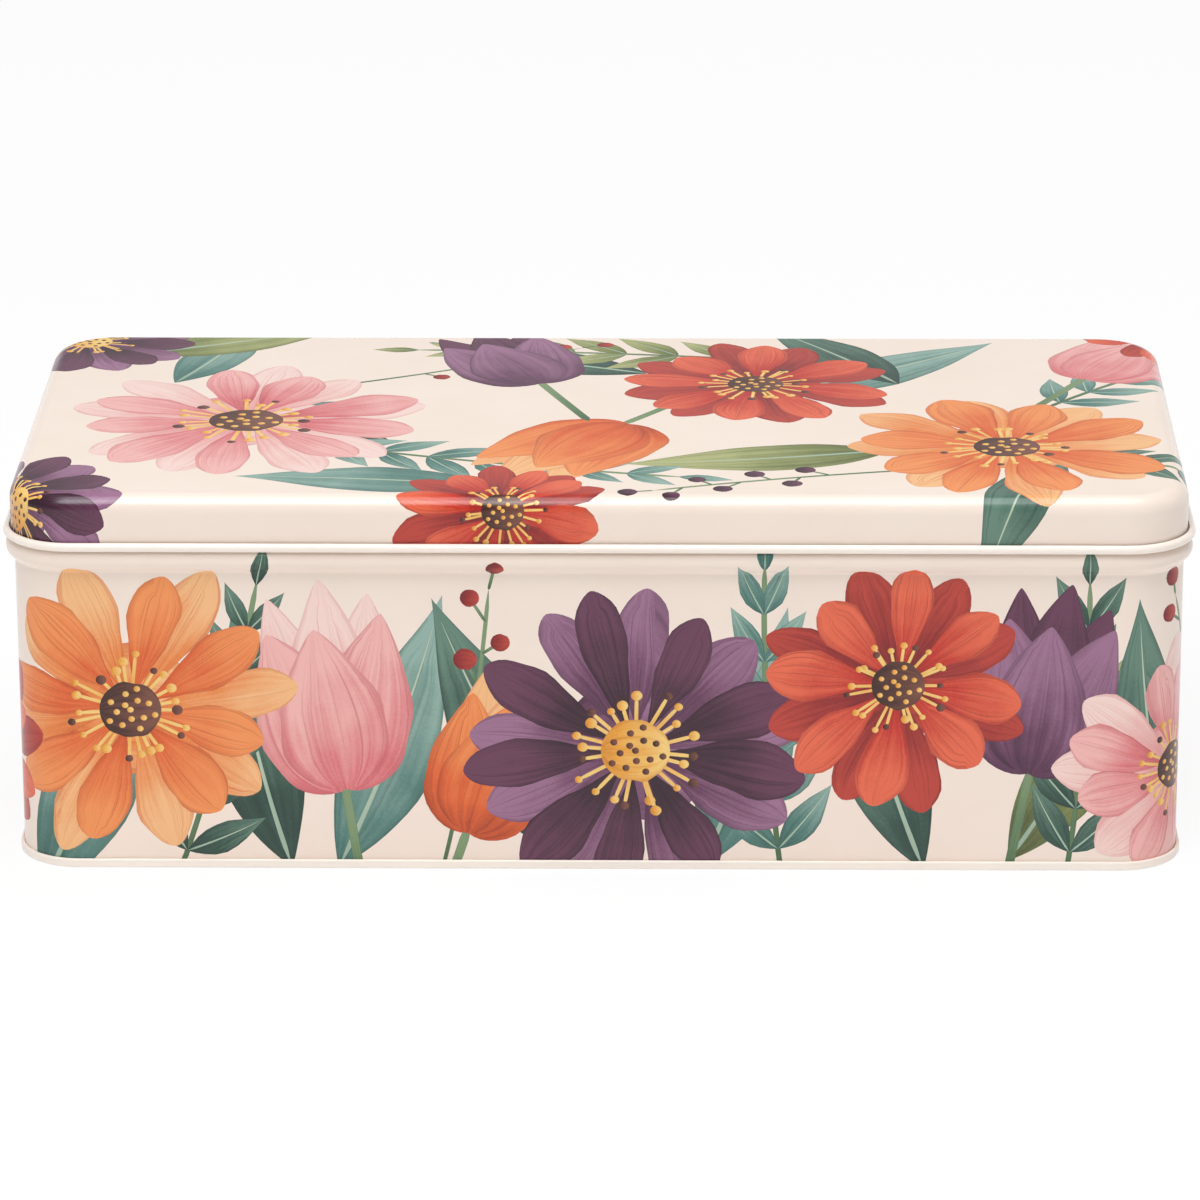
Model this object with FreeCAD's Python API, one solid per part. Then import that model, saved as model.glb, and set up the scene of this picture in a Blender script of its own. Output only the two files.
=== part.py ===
import FreeCAD, Part
import math
import os

# A long rectangular storage tin with rounded corners, made from thin tinplate in three pieces:
# a body wall wrapped from one strip, a base seamed round its foot, and a slip lid that lifts off.
# Sizes are in millimetres. X runs along the tin, Y to its back and Z up from the foot.
wall_length = 250.0
wall_width = 120.0
corner_radius = 13.0
sheet = 0.25

# The stop bead rings the body just under the lid. Its height is measured at the crest.
bead_level = 69.85
bead_height = 7.0
bead_out = 1.85
bead_crest_radius = 2.6

# Raw edges are rolled: the rim inward and the lid's skirt outward.
rim_roll_radius = 0.9
lid_curl_radius = 0.95
roll_turn = 290.0

# The lid is drawn from one blank. Its depth runs from the panel's top to the underside of the curl.
lid_depth = 11.9
lid_edge_radius = 3.6
skirt_gap = 0.45
seat_gap = 0.3

# The base is seamed on by two interlocked hooks, pressed to leave the lay between layers.
seam_height = 2.0
seam_lay = 0.03
foot_bend_radius = 0.5
base_recess = 3.0
base_bend_radius = 0.8
base_margin = 4.0
base_step = 0.8
base_step_radius = 1.2

# The strip's ends are locked together on the back, near a corner: folded layers inside, a line outside.
lock_width = 4.5
lock_layers = 3
lock_from_corner = 12.0
lock_line_width = 0.3
lock_line_depth = 0.1

# Layers of the base seam, as distances outward from the wall's outer face.
hook_slot = sheet + 2 * seam_lay
body_bend_radius = hook_slot / 2
body_bend_level = sheet + seam_lay + body_bend_radius + sheet
seam_out = hook_slot + sheet + seam_lay + sheet
chuck_in = sheet + seam_lay + sheet
fold_radius = body_bend_radius + sheet
fold_level = seam_height - fold_radius
body_hook_top = fold_level - seam_lay

# The bead is a crest between two hollow fillets, all tangent.
bead_radii = ((bead_height / 2) ** 2 + bead_out ** 2) / (2 * bead_out)
bead_fillet_radius = bead_radii - bead_crest_radius
bead_slope = math.degrees(math.asin(bead_height / 2 / bead_radii))
bead_foot = bead_level - bead_height / 2
bead_top = bead_level + bead_height / 2

# With the lid on, its curl stands the seat gap clear of the bead's crest.
curl_level = bead_level + math.sqrt(
    (lid_curl_radius + bead_crest_radius + seat_gap) ** 2
    - (skirt_gap + lid_curl_radius - bead_out + bead_crest_radius) ** 2
)
lid_top = curl_level - lid_curl_radius + lid_depth
lid_edge_inside = lid_edge_radius - sheet
lid_edge_level = lid_top - lid_edge_radius

# The rim's roll stands level with the start of the lid's rounding, so the skirt gap holds there too.
rim_roll_level = lid_edge_level

UP = FreeCAD.Vector(0, 0, 1)
CENTRE = FreeCAD.Vector(0, 0, 0)
QUARTER = 90.0
HALF_TURN = 180.0


def side_line(start, heading, moves, offset):
    """Edges of a line that runs beside a path, the offset to its left.

    The path starts at (outward, up) in a heading given in degrees. A move is ("run", length),
    ("left", radius, turn) or ("right", radius, turn).
    """
    out, up = start
    turned = math.radians(heading)
    edges = []

    def beside():
        return FreeCAD.Vector(out - offset * math.sin(turned), 0, up + offset * math.cos(turned))

    for kind, size, *turn in moves:
        first = beside()
        if kind == "run":
            out += size * math.cos(turned)
            up += size * math.sin(turned)
            edges.append(Part.LineSegment(first, beside()).toShape())
            continue
        side = 1 if kind == "left" else -1
        centre_out = out - side * size * math.sin(turned)
        centre_up = up + side * size * math.cos(turned)
        half = side * math.radians(turn[0]) / 2
        through = []
        for _ in range(2):
            turned += half
            out = centre_out + side * size * math.sin(turned)
            up = centre_up - side * size * math.cos(turned)
            through.append(beside())
        edges.append(Part.Arc(first, *through).toShape())
    return edges


def bent_strip(start, heading, moves, near=0.0, far=sheet):
    """Section of a bent sheet, between two distances to the left of a path."""
    near_edges = side_line(start, heading, moves, near)
    far_edges = side_line(start, heading, moves, far)
    first_cap = Part.LineSegment(near_edges[0].firstVertex().Point, far_edges[0].firstVertex().Point)
    last_cap = Part.LineSegment(near_edges[-1].lastVertex().Point, far_edges[-1].lastVertex().Point)
    outline = near_edges + far_edges + [first_cap.toShape(), last_cap.toShape()]
    return Part.Face(Part.Wire(Part.__sortEdges__(outline)))


def side_run(quarter):
    """Half the tin's extent towards one side, and the length of that side's straight run."""
    reach, across = (wall_length, wall_width) if quarter % 2 == 0 else (wall_width, wall_length)
    return reach / 2, across - 2 * corner_radius


def ring(section):
    """Solids that carry a section round the tin, measured outward from the wall's outer face."""
    solids = []
    for quarter in range(4):
        reach, run = side_run(quarter)
        side = section.translated(FreeCAD.Vector(reach, -run / 2, 0)).extrude(FreeCAD.Vector(0, run, 0))
        corner_axis = FreeCAD.Vector(reach - corner_radius, run / 2, 0)
        corner = section.translated(FreeCAD.Vector(reach, run / 2, 0)).revolve(corner_axis, UP, QUARTER)
        solids += [solid.rotated(CENTRE, UP, QUARTER * quarter) for solid in (side, corner)]
    return solids


def plate(inset, level):
    """Flat rounded panel of one sheet thickness, inset from the wall's outer face."""
    flat = bent_strip((-corner_radius, level), 0, [("run", corner_radius - inset)])
    length = wall_length - 2 * corner_radius
    width = wall_width - 2 * corner_radius
    middle = Part.makeBox(length, width, sheet, FreeCAD.Vector(-length / 2, -width / 2, level))
    return ring(flat) + [middle]


def joined(solids):
    """One clean solid from touching or overlapping ones."""
    return solids[0].fuse(solids[1:]).removeSplitter()


def wall_moves(roll):
    """Path of the wall's outer face from the seam's bend to the rim, then the given roll."""
    return [
        ("run", bead_foot - body_bend_level),
        ("right", bead_fillet_radius, bead_slope),
        ("left", bead_crest_radius, 2 * bead_slope),
        ("right", bead_fillet_radius, bead_slope),
        ("run", rim_roll_level - bead_top),
    ] + roll


def back_strip(section, from_corner, width):
    """A section run along the back, starting a distance from the corner at the tin's right."""
    reach, run = side_run(1)
    start = FreeCAD.Vector(reach, -run / 2 + from_corner, 0)
    strip = section.translated(start).extrude(FreeCAD.Vector(0, width, 0))
    return strip.rotated(CENTRE, UP, QUARTER)


def body_wall():
    """Wrapped wall: hook under the base seam, stop bead, neck, rolled rim and the locked side seam."""
    hook = [
        ("run", body_hook_top - body_bend_level),
        ("right", body_bend_radius, HALF_TURN),
    ]
    path = hook + wall_moves([("left", rim_roll_radius, roll_turn)])
    wall = ring(bent_strip((hook_slot, body_hook_top), -QUARTER, path))

    lock = bent_strip((0, body_bend_level), QUARTER, wall_moves([]), sheet, sheet * (1 + lock_layers))
    keep_above = base_recess + sheet + base_step + base_bend_radius
    keep_below = rim_roll_level - rim_roll_radius
    band = Part.makeBox(
        wall_length, wall_width, keep_below - keep_above,
        FreeCAD.Vector(-wall_length / 2, 0, keep_above),
    )
    folds = back_strip(lock, lock_from_corner, lock_width).common(band)

    line = bent_strip(
        (0, keep_above), QUARTER, [("run", bead_foot - keep_above)], 0.0, lock_line_depth
    )
    groove = back_strip(line, lock_from_corner + lock_width, lock_line_width)
    return joined(wall + [folds]).cut(groove)


def base_panel():
    """Recessed base: stepped panel, chuck wall inside the body, and the seam folded round the foot."""
    step_turn = math.degrees(math.acos(1 - base_step / (2 * base_step_radius + sheet)))
    step_run = (2 * base_step_radius + sheet) * math.sin(math.radians(step_turn))
    panel_level = base_recess + base_step
    panel_inset = chuck_in + base_bend_radius + base_margin + step_run
    foot_run = seam_out + chuck_in - 2 * foot_bend_radius
    path = [
        ("right", base_step_radius, step_turn),
        ("left", base_step_radius + sheet, step_turn),
        ("run", base_margin),
        ("right", base_bend_radius, QUARTER),
        ("run", base_recess - base_bend_radius - foot_bend_radius),
        ("left", foot_bend_radius, QUARTER),
        ("run", foot_run),
        ("left", foot_bend_radius, QUARTER),
        ("run", fold_level - foot_bend_radius),
        ("left", fold_radius, HALF_TURN),
        ("run", fold_level - body_bend_level - seam_lay),
    ]
    seamed = ring(bent_strip((-panel_inset, panel_level), 0, path))
    return joined(seamed + plate(panel_inset, panel_level))


def lid():
    """Slip lid: flat panel rounded into a skirt whose edge is rolled outward."""
    panel_inset = lid_edge_inside - skirt_gap
    path = [
        ("right", lid_edge_inside, QUARTER),
        ("run", lid_edge_level - curl_level),
        ("left", lid_curl_radius, roll_turn),
    ]
    skirt = ring(bent_strip((-panel_inset, lid_top - sheet), 0, path))
    return joined(skirt + plate(panel_inset, lid_top - sheet))


def main():
    """Write each piece of the tin as its own file."""
    os.makedirs("parts", exist_ok=True)
    for name, build in (("body_wall", body_wall), ("base_panel", base_panel), ("lid", lid)):
        shape = build()
        print(name, "solids", len(shape.Solids), "valid", shape.isValid(), "volume", round(shape.Volume, 1))
        shape.exportStep("parts/%s.step" % name)


main()
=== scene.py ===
import cmath
import logging
import math
import random
from dataclasses import dataclass, field, replace
from enum import Enum
from typing import Callable, ClassVar, Optional

import bpy
import numpy as np
from mathutils import Matrix, Vector
from mathutils.geometry import delaunay_2d_cdt


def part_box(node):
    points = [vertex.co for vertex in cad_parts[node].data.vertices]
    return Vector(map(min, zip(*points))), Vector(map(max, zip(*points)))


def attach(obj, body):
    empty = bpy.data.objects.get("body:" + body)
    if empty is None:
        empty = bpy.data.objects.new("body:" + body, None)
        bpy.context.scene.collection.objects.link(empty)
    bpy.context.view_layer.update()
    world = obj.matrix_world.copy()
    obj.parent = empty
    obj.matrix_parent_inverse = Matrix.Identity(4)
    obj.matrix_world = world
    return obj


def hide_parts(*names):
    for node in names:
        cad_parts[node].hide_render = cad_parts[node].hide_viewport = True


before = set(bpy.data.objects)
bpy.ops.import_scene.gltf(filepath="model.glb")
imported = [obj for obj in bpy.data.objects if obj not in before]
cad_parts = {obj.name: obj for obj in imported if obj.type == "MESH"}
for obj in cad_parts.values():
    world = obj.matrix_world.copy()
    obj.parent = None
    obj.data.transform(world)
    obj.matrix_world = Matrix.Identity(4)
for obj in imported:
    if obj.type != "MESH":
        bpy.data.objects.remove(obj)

MM = 0.001
LOG = logging.getLogger("tin")
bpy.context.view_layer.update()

Node = bpy.types.Node
Socket = bpy.types.NodeSocket
Tree = bpy.types.NodeTree
Material = bpy.types.Material
Piece = bpy.types.Object
Spot = tuple[float, float]


def linear(hex_colour: str) -> tuple[float, float, float, float]:
    """Turn an sRGB hex colour into the linear colour that shaders take.

    Args:
        hex_colour: Six hex digits after a hash sign.

    Returns:
        Linear red, green, blue and an alpha of one.
    """
    parts = [int(hex_colour[i:i + 2], 16) / 255 for i in (1, 3, 5)]
    low, knee, slope, power = 12.92, 0.04045, 1.055, 2.4
    return (*(p / low if p <= knee else ((p + slope - 1) / slope) ** power for p in parts), 1.0)


def add(tree: Tree, kind: str, settings: Optional[dict] = None, links: Optional[dict] = None) -> Node:
    """Add one shader node with its settings, socket values and incoming links.

    Args:
        tree: Node tree that takes the node.
        kind: Node type without its ShaderNode prefix.
        settings: Attributes of the node, by name.
        links: For each input's name or index, a source socket or a plain value.

    Returns:
        The new node.
    """
    node = tree.nodes.new("ShaderNode" + kind)
    for name, value in (settings or {}).items():
        setattr(node, name, value)
    for name, value in (links or {}).items():
        if isinstance(value, Socket):
            tree.links.new(value, node.inputs[name])
        else:
            node.inputs[name].default_value = value
    return node


def per_metre(size_mm: float) -> float:
    """Texture scale, in repeats per metre, of a pattern whose features measure size_mm."""
    return 1 / (size_mm * MM)


class Turn(Enum):
    """The ways a bent sheet's path goes on."""

    RUN = 0
    LEFT = 1
    RIGHT = -1


@dataclass(frozen=True)
class Bend:
    """One stretch of a bent sheet's path: a straight run, or an arc of a radius and an angle."""

    turn: Turn
    size: float
    angle: float = 0.0

    def along(self, here: complex, way: complex, share: float) -> tuple[complex, complex]:
        """Place and direction at a share of the stretch.

        Args:
            here: Place where the stretch starts, outward and up.
            way: Unit direction there.
            share: Share of the stretch, up to one.

        Returns:
            The place, and the unit direction of the path there.
        """
        if self.turn is Turn.RUN:
            return here + way * self.size * share, way
        ahead = way * cmath.rect(1, self.turn.value * math.radians(self.angle) * share)
        return here + 1j * self.turn.value * self.size * (way - ahead), ahead


@dataclass(frozen=True)
class Plan:
    """The wall's outer face seen from above, walked anticlockwise from the side seam at the back.

    Sizes are in millimetres. A place on it is a length s along the walk and an offset n outward.
    """

    half_length: float = 125.0
    half_width: float = 60.0
    radius: float = 13.0
    seam_x: float = 95.5

    def legs(self) -> list[tuple[float, float, float, float, float]]:
        """Stretches of the walk: start x and y, quarter turns of heading, length, corner radius or 0."""
        across = self.half_length - self.radius
        deep = self.half_width - self.radius
        arc = self.radius * math.pi / 2
        return [
            (self.seam_x, self.half_width, 2, self.seam_x + across, 0.0),
            (-across, self.half_width, 2, arc, self.radius),
            (-self.half_length, deep, 3, 2 * deep, 0.0),
            (-self.half_length, -deep, 3, arc, self.radius),
            (-across, -self.half_width, 0, 2 * across, 0.0),
            (across, -self.half_width, 0, arc, self.radius),
            (self.half_length, -deep, 1, 2 * deep, 0.0),
            (self.half_length, deep, 1, arc, self.radius),
            (across, self.half_width, 2, across - self.seam_x, 0.0),
        ]

    def length(self) -> float:
        """Length of the whole walk."""
        return sum(leg[3] for leg in self.legs())

    def front_start(self) -> float:
        """Place along the walk where the straight front begins."""
        return sum(leg[3] for leg in self.legs()[:4])

    def place(self, s: np.ndarray, n: np.ndarray) -> tuple[np.ndarray, np.ndarray]:
        """Points at places along the walk.

        Args:
            s: Lengths along the walk.
            n: Offsets outward.

        Returns:
            Plan points and unit outward directions, one row each.
        """
        s = np.asarray(s, float)
        points = np.zeros((len(s), 2))
        outward = np.zeros((len(s), 2))
        begin = 0.0
        for x, y, heading, length, radius in self.legs():
            here = (s >= begin - 1e-9) & (s <= begin + length + 1e-9)
            along = s[here] - begin
            turned = heading * math.pi / 2 + (along / radius if radius else 0 * along)
            facing = np.column_stack([np.sin(turned), -np.cos(turned)])
            if radius:
                start = heading * math.pi / 2
                centre = np.array([x - radius * math.sin(start), y + radius * math.cos(start)])
                points[here] = centre + radius * facing
            else:
                step = np.column_stack([np.cos(turned), np.sin(turned)])
                points[here] = np.array([x, y]) + step * along[:, None]
            outward[here] = facing
            begin += length
        return points + outward * np.asarray(n, float)[:, None], outward

    def stations(self, corner_steps: int, run_step: float) -> np.ndarray:
        """Lengths along the walk at which meshes have their upright edges.

        Args:
            corner_steps: Facets to a corner.
            run_step: Longest straight facet.

        Returns:
            Rising lengths from zero to the whole walk.
        """
        marks = [0.0]
        for *_, length, radius in self.legs():
            count = corner_steps if radius else max(1, math.ceil(length / run_step))
            start = marks[-1]
            marks += [start + length * (k + 1) / count for k in range(count)]
        return np.array(marks)


@dataclass(frozen=True)
class Section:
    """A bent sheet's section, as rows of outward place, height and normal for both of its faces.

    The path starts at an outward place and height, in a heading of 0 degrees for outward and 90 for up.
    Its faces lie the near and the far distance to its left.
    """

    start: Spot
    heading: float
    bends: tuple[Bend, ...]
    near: float = 0.0
    far: float = 0.25
    arc_step: float = 11.0

    def face(self, offset: float, side: int) -> list[np.ndarray]:
        """Rows of one face, one array for each bend, with shared rows left in the earlier array.

        Args:
            offset: Distance of the face to the left of the path.
            side: One for a face that looks to the left of the path, minus one for the right.

        Returns:
            Outward place, height, and outward and upward parts of the normal, row by row.
        """
        here = complex(*self.start)
        way = cmath.rect(1, math.radians(self.heading))
        stretches = []
        for index, bend in enumerate(self.bends):
            steps = 1 if bend.turn is Turn.RUN else max(2, math.ceil(bend.angle / self.arc_step))
            rows = []
            for k in range(min(index, 1), steps + 1):
                place, ahead = bend.along(here, way, k / steps)
                spot = place + offset * 1j * ahead
                facing = side * 1j * ahead
                rows.append((spot.real, spot.imag, facing.real, facing.imag))
            here, way = bend.along(here, way, 1.0)
            stretches.append(np.array(rows))
        return stretches

    def near_face(self) -> list[np.ndarray]:
        """Rows of the face to the right of the path."""
        return self.face(self.near, -1)

    def far_face(self) -> list[np.ndarray]:
        """Rows of the face to the left of the path."""
        return self.face(self.far, 1)


class Form(Enum):
    """Outlines of painted shapes, as half-width along the length."""

    BROAD = "broad"
    LANCE = "lance"
    CUPPED = "cupped"
    ROUND = "round"
    STEM = "stem"
    VEIN = "vein"

    def half_width(self, u: np.ndarray) -> np.ndarray:
        """Half-width, up to one, at shares u of the length."""
        u = np.clip(u, 0, 1)
        if self is Form.BROAD:
            return np.sin(np.pi * u ** 1.7) ** 0.62 * (0.9 + 0.1 * u) + 0.06 * (1 - u)
        if self is Form.LANCE:
            return np.sin(np.pi * u ** 0.82) ** 1.15
        if self is Form.CUPPED:
            return np.sin(np.pi * u ** 0.72) ** 0.7 * (1 - 0.25 * u ** 3)
        if self is Form.ROUND:
            return 2 * np.sqrt(np.clip(u * (1 - u), 0, 1))
        if self is Form.VEIN:
            return np.minimum(10 * u, 1) * (1 - u) ** 0.8
        return np.clip(np.minimum(14 * u, 14 * (1 - u)) + 0.15, 0, 1)


@dataclass(frozen=True)
class Stroke:
    """One painted shape on the flat blank, in millimetres: a petal, leaf, stem or dot of one ink.

    It grows from its root in the direction aim, in degrees, and bows sideways by bend shares of its
    length. Its edges waver by ruffle shares of its width, and its tone shades it from its neighbours.
    """

    root: Spot
    aim: float
    length: float
    width: float
    ink: str
    form: Form
    bend: float = 0.0
    ruffle: float = 0.0
    tone: float = 0.5

    def outline(self) -> np.ndarray:
        """Corner points of the shape on the blank."""
        count = int(np.clip(self.length / (0.8 if self.form is Form.ROUND else 1.6), 8, 26))
        u = (1 - np.cos(np.linspace(0, math.pi, count + 1))) / 2
        half = self.form.half_width(u) * self.width / 2
        wave = 1 + self.ruffle * (np.sin(9.0 * u + 40 * self.tone) + np.sin(17.0 * u + 90 * self.tone))
        other = 1 + self.ruffle * (np.sin(10.0 * u + 65 * self.tone) + np.sin(19.0 * u + 20 * self.tone))
        bow = self.bend * self.length * u ** 2
        right = np.column_stack([u * self.length, bow + half * wave])
        left = np.column_stack([u * self.length, bow - half * other])[::-1]
        return self.lay(np.vstack([right, left[1:-1]]))

    def spine(self) -> np.ndarray:
        """Points down the middle of a petal or leaf, so that its shading folds there."""
        u = np.linspace(0.06, 0.96, max(3, int(self.length / 4)))
        return self.lay(np.column_stack([u * self.length, self.bend * self.length * u ** 2]))

    def spin(self) -> np.ndarray:
        """Turn from along and across the stroke to the blank's own directions."""
        turn = math.radians(self.aim)
        return np.array([[math.cos(turn), math.sin(turn)], [-math.sin(turn), math.cos(turn)]])

    def lay(self, local: np.ndarray) -> np.ndarray:
        """Points along and across the stroke, turned and moved to the blank."""
        return local @ self.spin() + np.array(self.root)

    def shares(self, points: np.ndarray) -> np.ndarray:
        """Share along the length, signed share across, and tone, for points of the blank."""
        local = (points - np.array(self.root)) @ self.spin().T
        u = local[:, 0] / self.length
        half = np.maximum(self.form.half_width(np.clip(u, 0.02, 0.98)) * self.width / 2, 1e-3)
        v = (local[:, 1] - self.bend * self.length * np.clip(u, 0, 1) ** 2) / half
        return np.column_stack([np.clip(u, 0, 1), np.clip(v, -1, 1), np.full(len(u), self.tone)])


class Hue(Enum):
    """Colourings of a bloom: inks of its front or outer petals, the petals behind and the heart."""

    RED = ("vermilion", "crimson", "umber")
    ORANGE = ("tangerine", "apricot", "umber")
    PINK = ("rose", "blush", "umber")
    PURPLE = ("plum", "mauve", "pollen")
    LILAC = ("mauve", "plum", "pollen")


@dataclass
class Bouquet:
    """A garden design of the maker's own, painted stroke by stroke from the back to the front."""

    seed: int
    strokes: list[Stroke] = field(default_factory=list)

    def __post_init__(self) -> None:
        """Start the design's own random draws."""
        self.draw = random.Random(self.seed)

    def put(self, root: Spot, aim: float, length: float, width: float, ink: str, form: Form,
            bend: float = 0.0, ruffle: float = 0.0) -> None:
        """Paint one stroke with a tone of its own."""
        self.strokes.append(Stroke(root, aim, length, width, ink, form, bend, ruffle, self.draw.random()))

    def dot(self, x: float, y: float, size: float, ink: str) -> None:
        """One round dab of the brush."""
        self.put((x - size / 2, y), 0, size, size * 0.95, ink, Form.ROUND, 0, 0.03)

    def daisy(self, x: float, y: float, size: float, hue: Hue, petals: int, spin: float) -> None:
        """An open bloom seen from above: two rings of broad petals round a heart with stamens.

        Args:
            x: Middle of the bloom along the blank.
            y: Middle of the bloom up the blank.
            size: Bloom across, petal tip to petal tip.
            hue: Colouring of its petals and heart.
            petals: Petals in each ring.
            spin: Turn of the first petal, in degrees.
        """
        front, behind, heart = hue.value
        stamens, seeds, golden_turn = 22, 14, 137.5
        reach = size / 2
        inner = 0.07 * size
        self.dot(x, y, 0.44 * size, behind)
        for ring, colour in ((0, behind), (1, front)):
            for k in range(petals):
                aim = spin + 360 * (k + ring / 2) / petals + self.draw.uniform(-7, 7)
                grown = reach * self.draw.uniform(0.88, 1.05) * (1.0 if ring == 0 else 0.92)
                near = math.radians(aim)
                root = (x + inner * math.cos(near), y + inner * math.sin(near))
                wide = 2.75 * reach / petals * self.draw.uniform(0.9, 1.15)
                bow = self.draw.uniform(-0.08, 0.08)
                self.put(root, aim, grown - inner, wide, colour, Form.BROAD, bow, 0.04)
        for k in range(stamens):
            turn = math.radians(360 * k / stamens + self.draw.uniform(-7, 7))
            tip = size * self.draw.uniform(0.13, 0.19)
            self.put((x, y), math.degrees(turn), tip, 0.011 * size, "pollen", Form.STEM)
            dusted = 0.026 * size * self.draw.uniform(0.8, 1.3)
            ink = "umber" if k % 4 == 0 else "pollen"
            self.dot(x + tip * math.cos(turn), y + tip * math.sin(turn), dusted, ink)
        self.dot(x, y, 0.19 * size, heart)
        ink = "pollen" if heart == "umber" else "umber"
        for k in range(seeds):
            turn = math.radians(golden_turn * k)
            far = 0.08 * size * math.sqrt(k / seeds)
            self.dot(x + far * math.cos(turn), y + far * math.sin(turn), 0.02 * size, ink)

    def tulip(self, x: float, y: float, size: float, aim: float, hue: Hue, stem: float) -> None:
        """A cupped bloom seen from the side, on its stem.

        Args:
            x: Foot of the bloom along the blank.
            y: Foot of the bloom up the blank.
            size: Height of the bloom.
            aim: Direction it opens to, in degrees.
            hue: Colouring of its outer and inner petals.
            stem: Length of its stem.
        """
        outer, inner, _ = hue.value
        back = math.radians(aim + 180)
        root = (x + stem * math.cos(back), y + stem * math.sin(back))
        self.put(root, aim, stem * 1.04, 2.0, "stem_green", Form.STEM, self.draw.uniform(-0.03, 0.03))
        for lean, share, wide, colour in (
            (-19, 0.97, 0.42, inner), (17, 1.0, 0.4, inner), (-2, 1.04, 0.46, inner),
            (-25, 0.88, 0.46, outer), (23, 0.84, 0.5, outer), (3, 0.8, 0.52, outer),
        ):
            self.put((x, y), aim + lean, size * share, size * wide, colour, Form.CUPPED, -lean / 240, 0.025)

    def sprig(self, x: float, y: float, aim: float, length: float, ink: str, bow: float) -> None:
        """A leafy shoot with paired leaves that shorten towards its tip.

        Args:
            x: Root along the blank.
            y: Root up the blank.
            aim: Direction it grows to, in degrees.
            length: Length of the shoot.
            ink: Ink of the leaves.
            bow: Sideways bow, in shares of its length.
        """
        largest = 21.0
        shoot = Stroke((x, y), aim, length, 1.2, "stem_green", Form.STEM, bow)
        self.strokes.append(shoot)
        pairs = max(3, round(length / 13))
        for k in range(pairs + 1):
            share = 0.14 + 0.84 * k / pairs
            root = tuple(shoot.lay(np.array([[share * length, bow * length * share ** 2]]))[0])
            lean = aim + math.degrees(math.atan(2 * bow * share))
            size = largest * (1 - 0.45 * share) * self.draw.uniform(0.85, 1.1)
            opened = (0,) if k == pairs else (-1, 1)
            for hand in opened:
                way = lean + hand * (48 - 16 * share + self.draw.uniform(-7, 7))
                self.leaf(root, way, size, ink, -hand * 0.09, 0.36)

    def leaf(self, root: Spot, aim: float, length: float, ink: str, bend: float, slim: float = 0.3) -> None:
        """One lance leaf, slim shares of its length across, with a pale vein up its middle."""
        self.put(root, aim, length, slim * length, ink, Form.LANCE, bend, 0.02)
        reach = 0.92
        vein = Stroke(root, aim, reach * length, 0.2 + 0.016 * length, "vein_green", Form.VEIN, reach * bend)
        self.strokes.append(vein)

    def berries(self, x: float, y: float, aim: float, length: float, ink: str) -> None:
        """A thin twig with round berries on short stalks along it."""
        bow, last = 0.08, 6
        twig = Stroke((x, y), aim, length, 0.9, "stem_green", Form.STEM, bow)
        self.strokes.append(twig)
        for k in range(last + 1):
            share = 0.35 + 0.65 * k / last
            root = tuple(twig.lay(np.array([[share * length, bow * length * share ** 2]]))[0])
            way = aim + (1 if k % 2 else -1) * self.draw.uniform(38, 58) * (k < last)
            stalk = self.draw.uniform(4.5, 6.5)
            self.put(root, way, stalk, 0.7, "stem_green", Form.STEM)
            turn = math.radians(way)
            self.dot(root[0] + stalk * math.cos(turn), root[1] + stalk * math.sin(turn),
                     self.draw.uniform(3.8, 5.2), ink)


@dataclass(frozen=True)
class BakeBox:
    """A rectangle of the bake map, by its low corner and size."""

    x: float
    y: float
    width: float
    height: float

    def place(self, spots: np.ndarray) -> np.ndarray:
        """Spots from zero to one, placed in the rectangle."""
        return spots * np.array([self.width, self.height]) + np.array([self.x, self.y])


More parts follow.
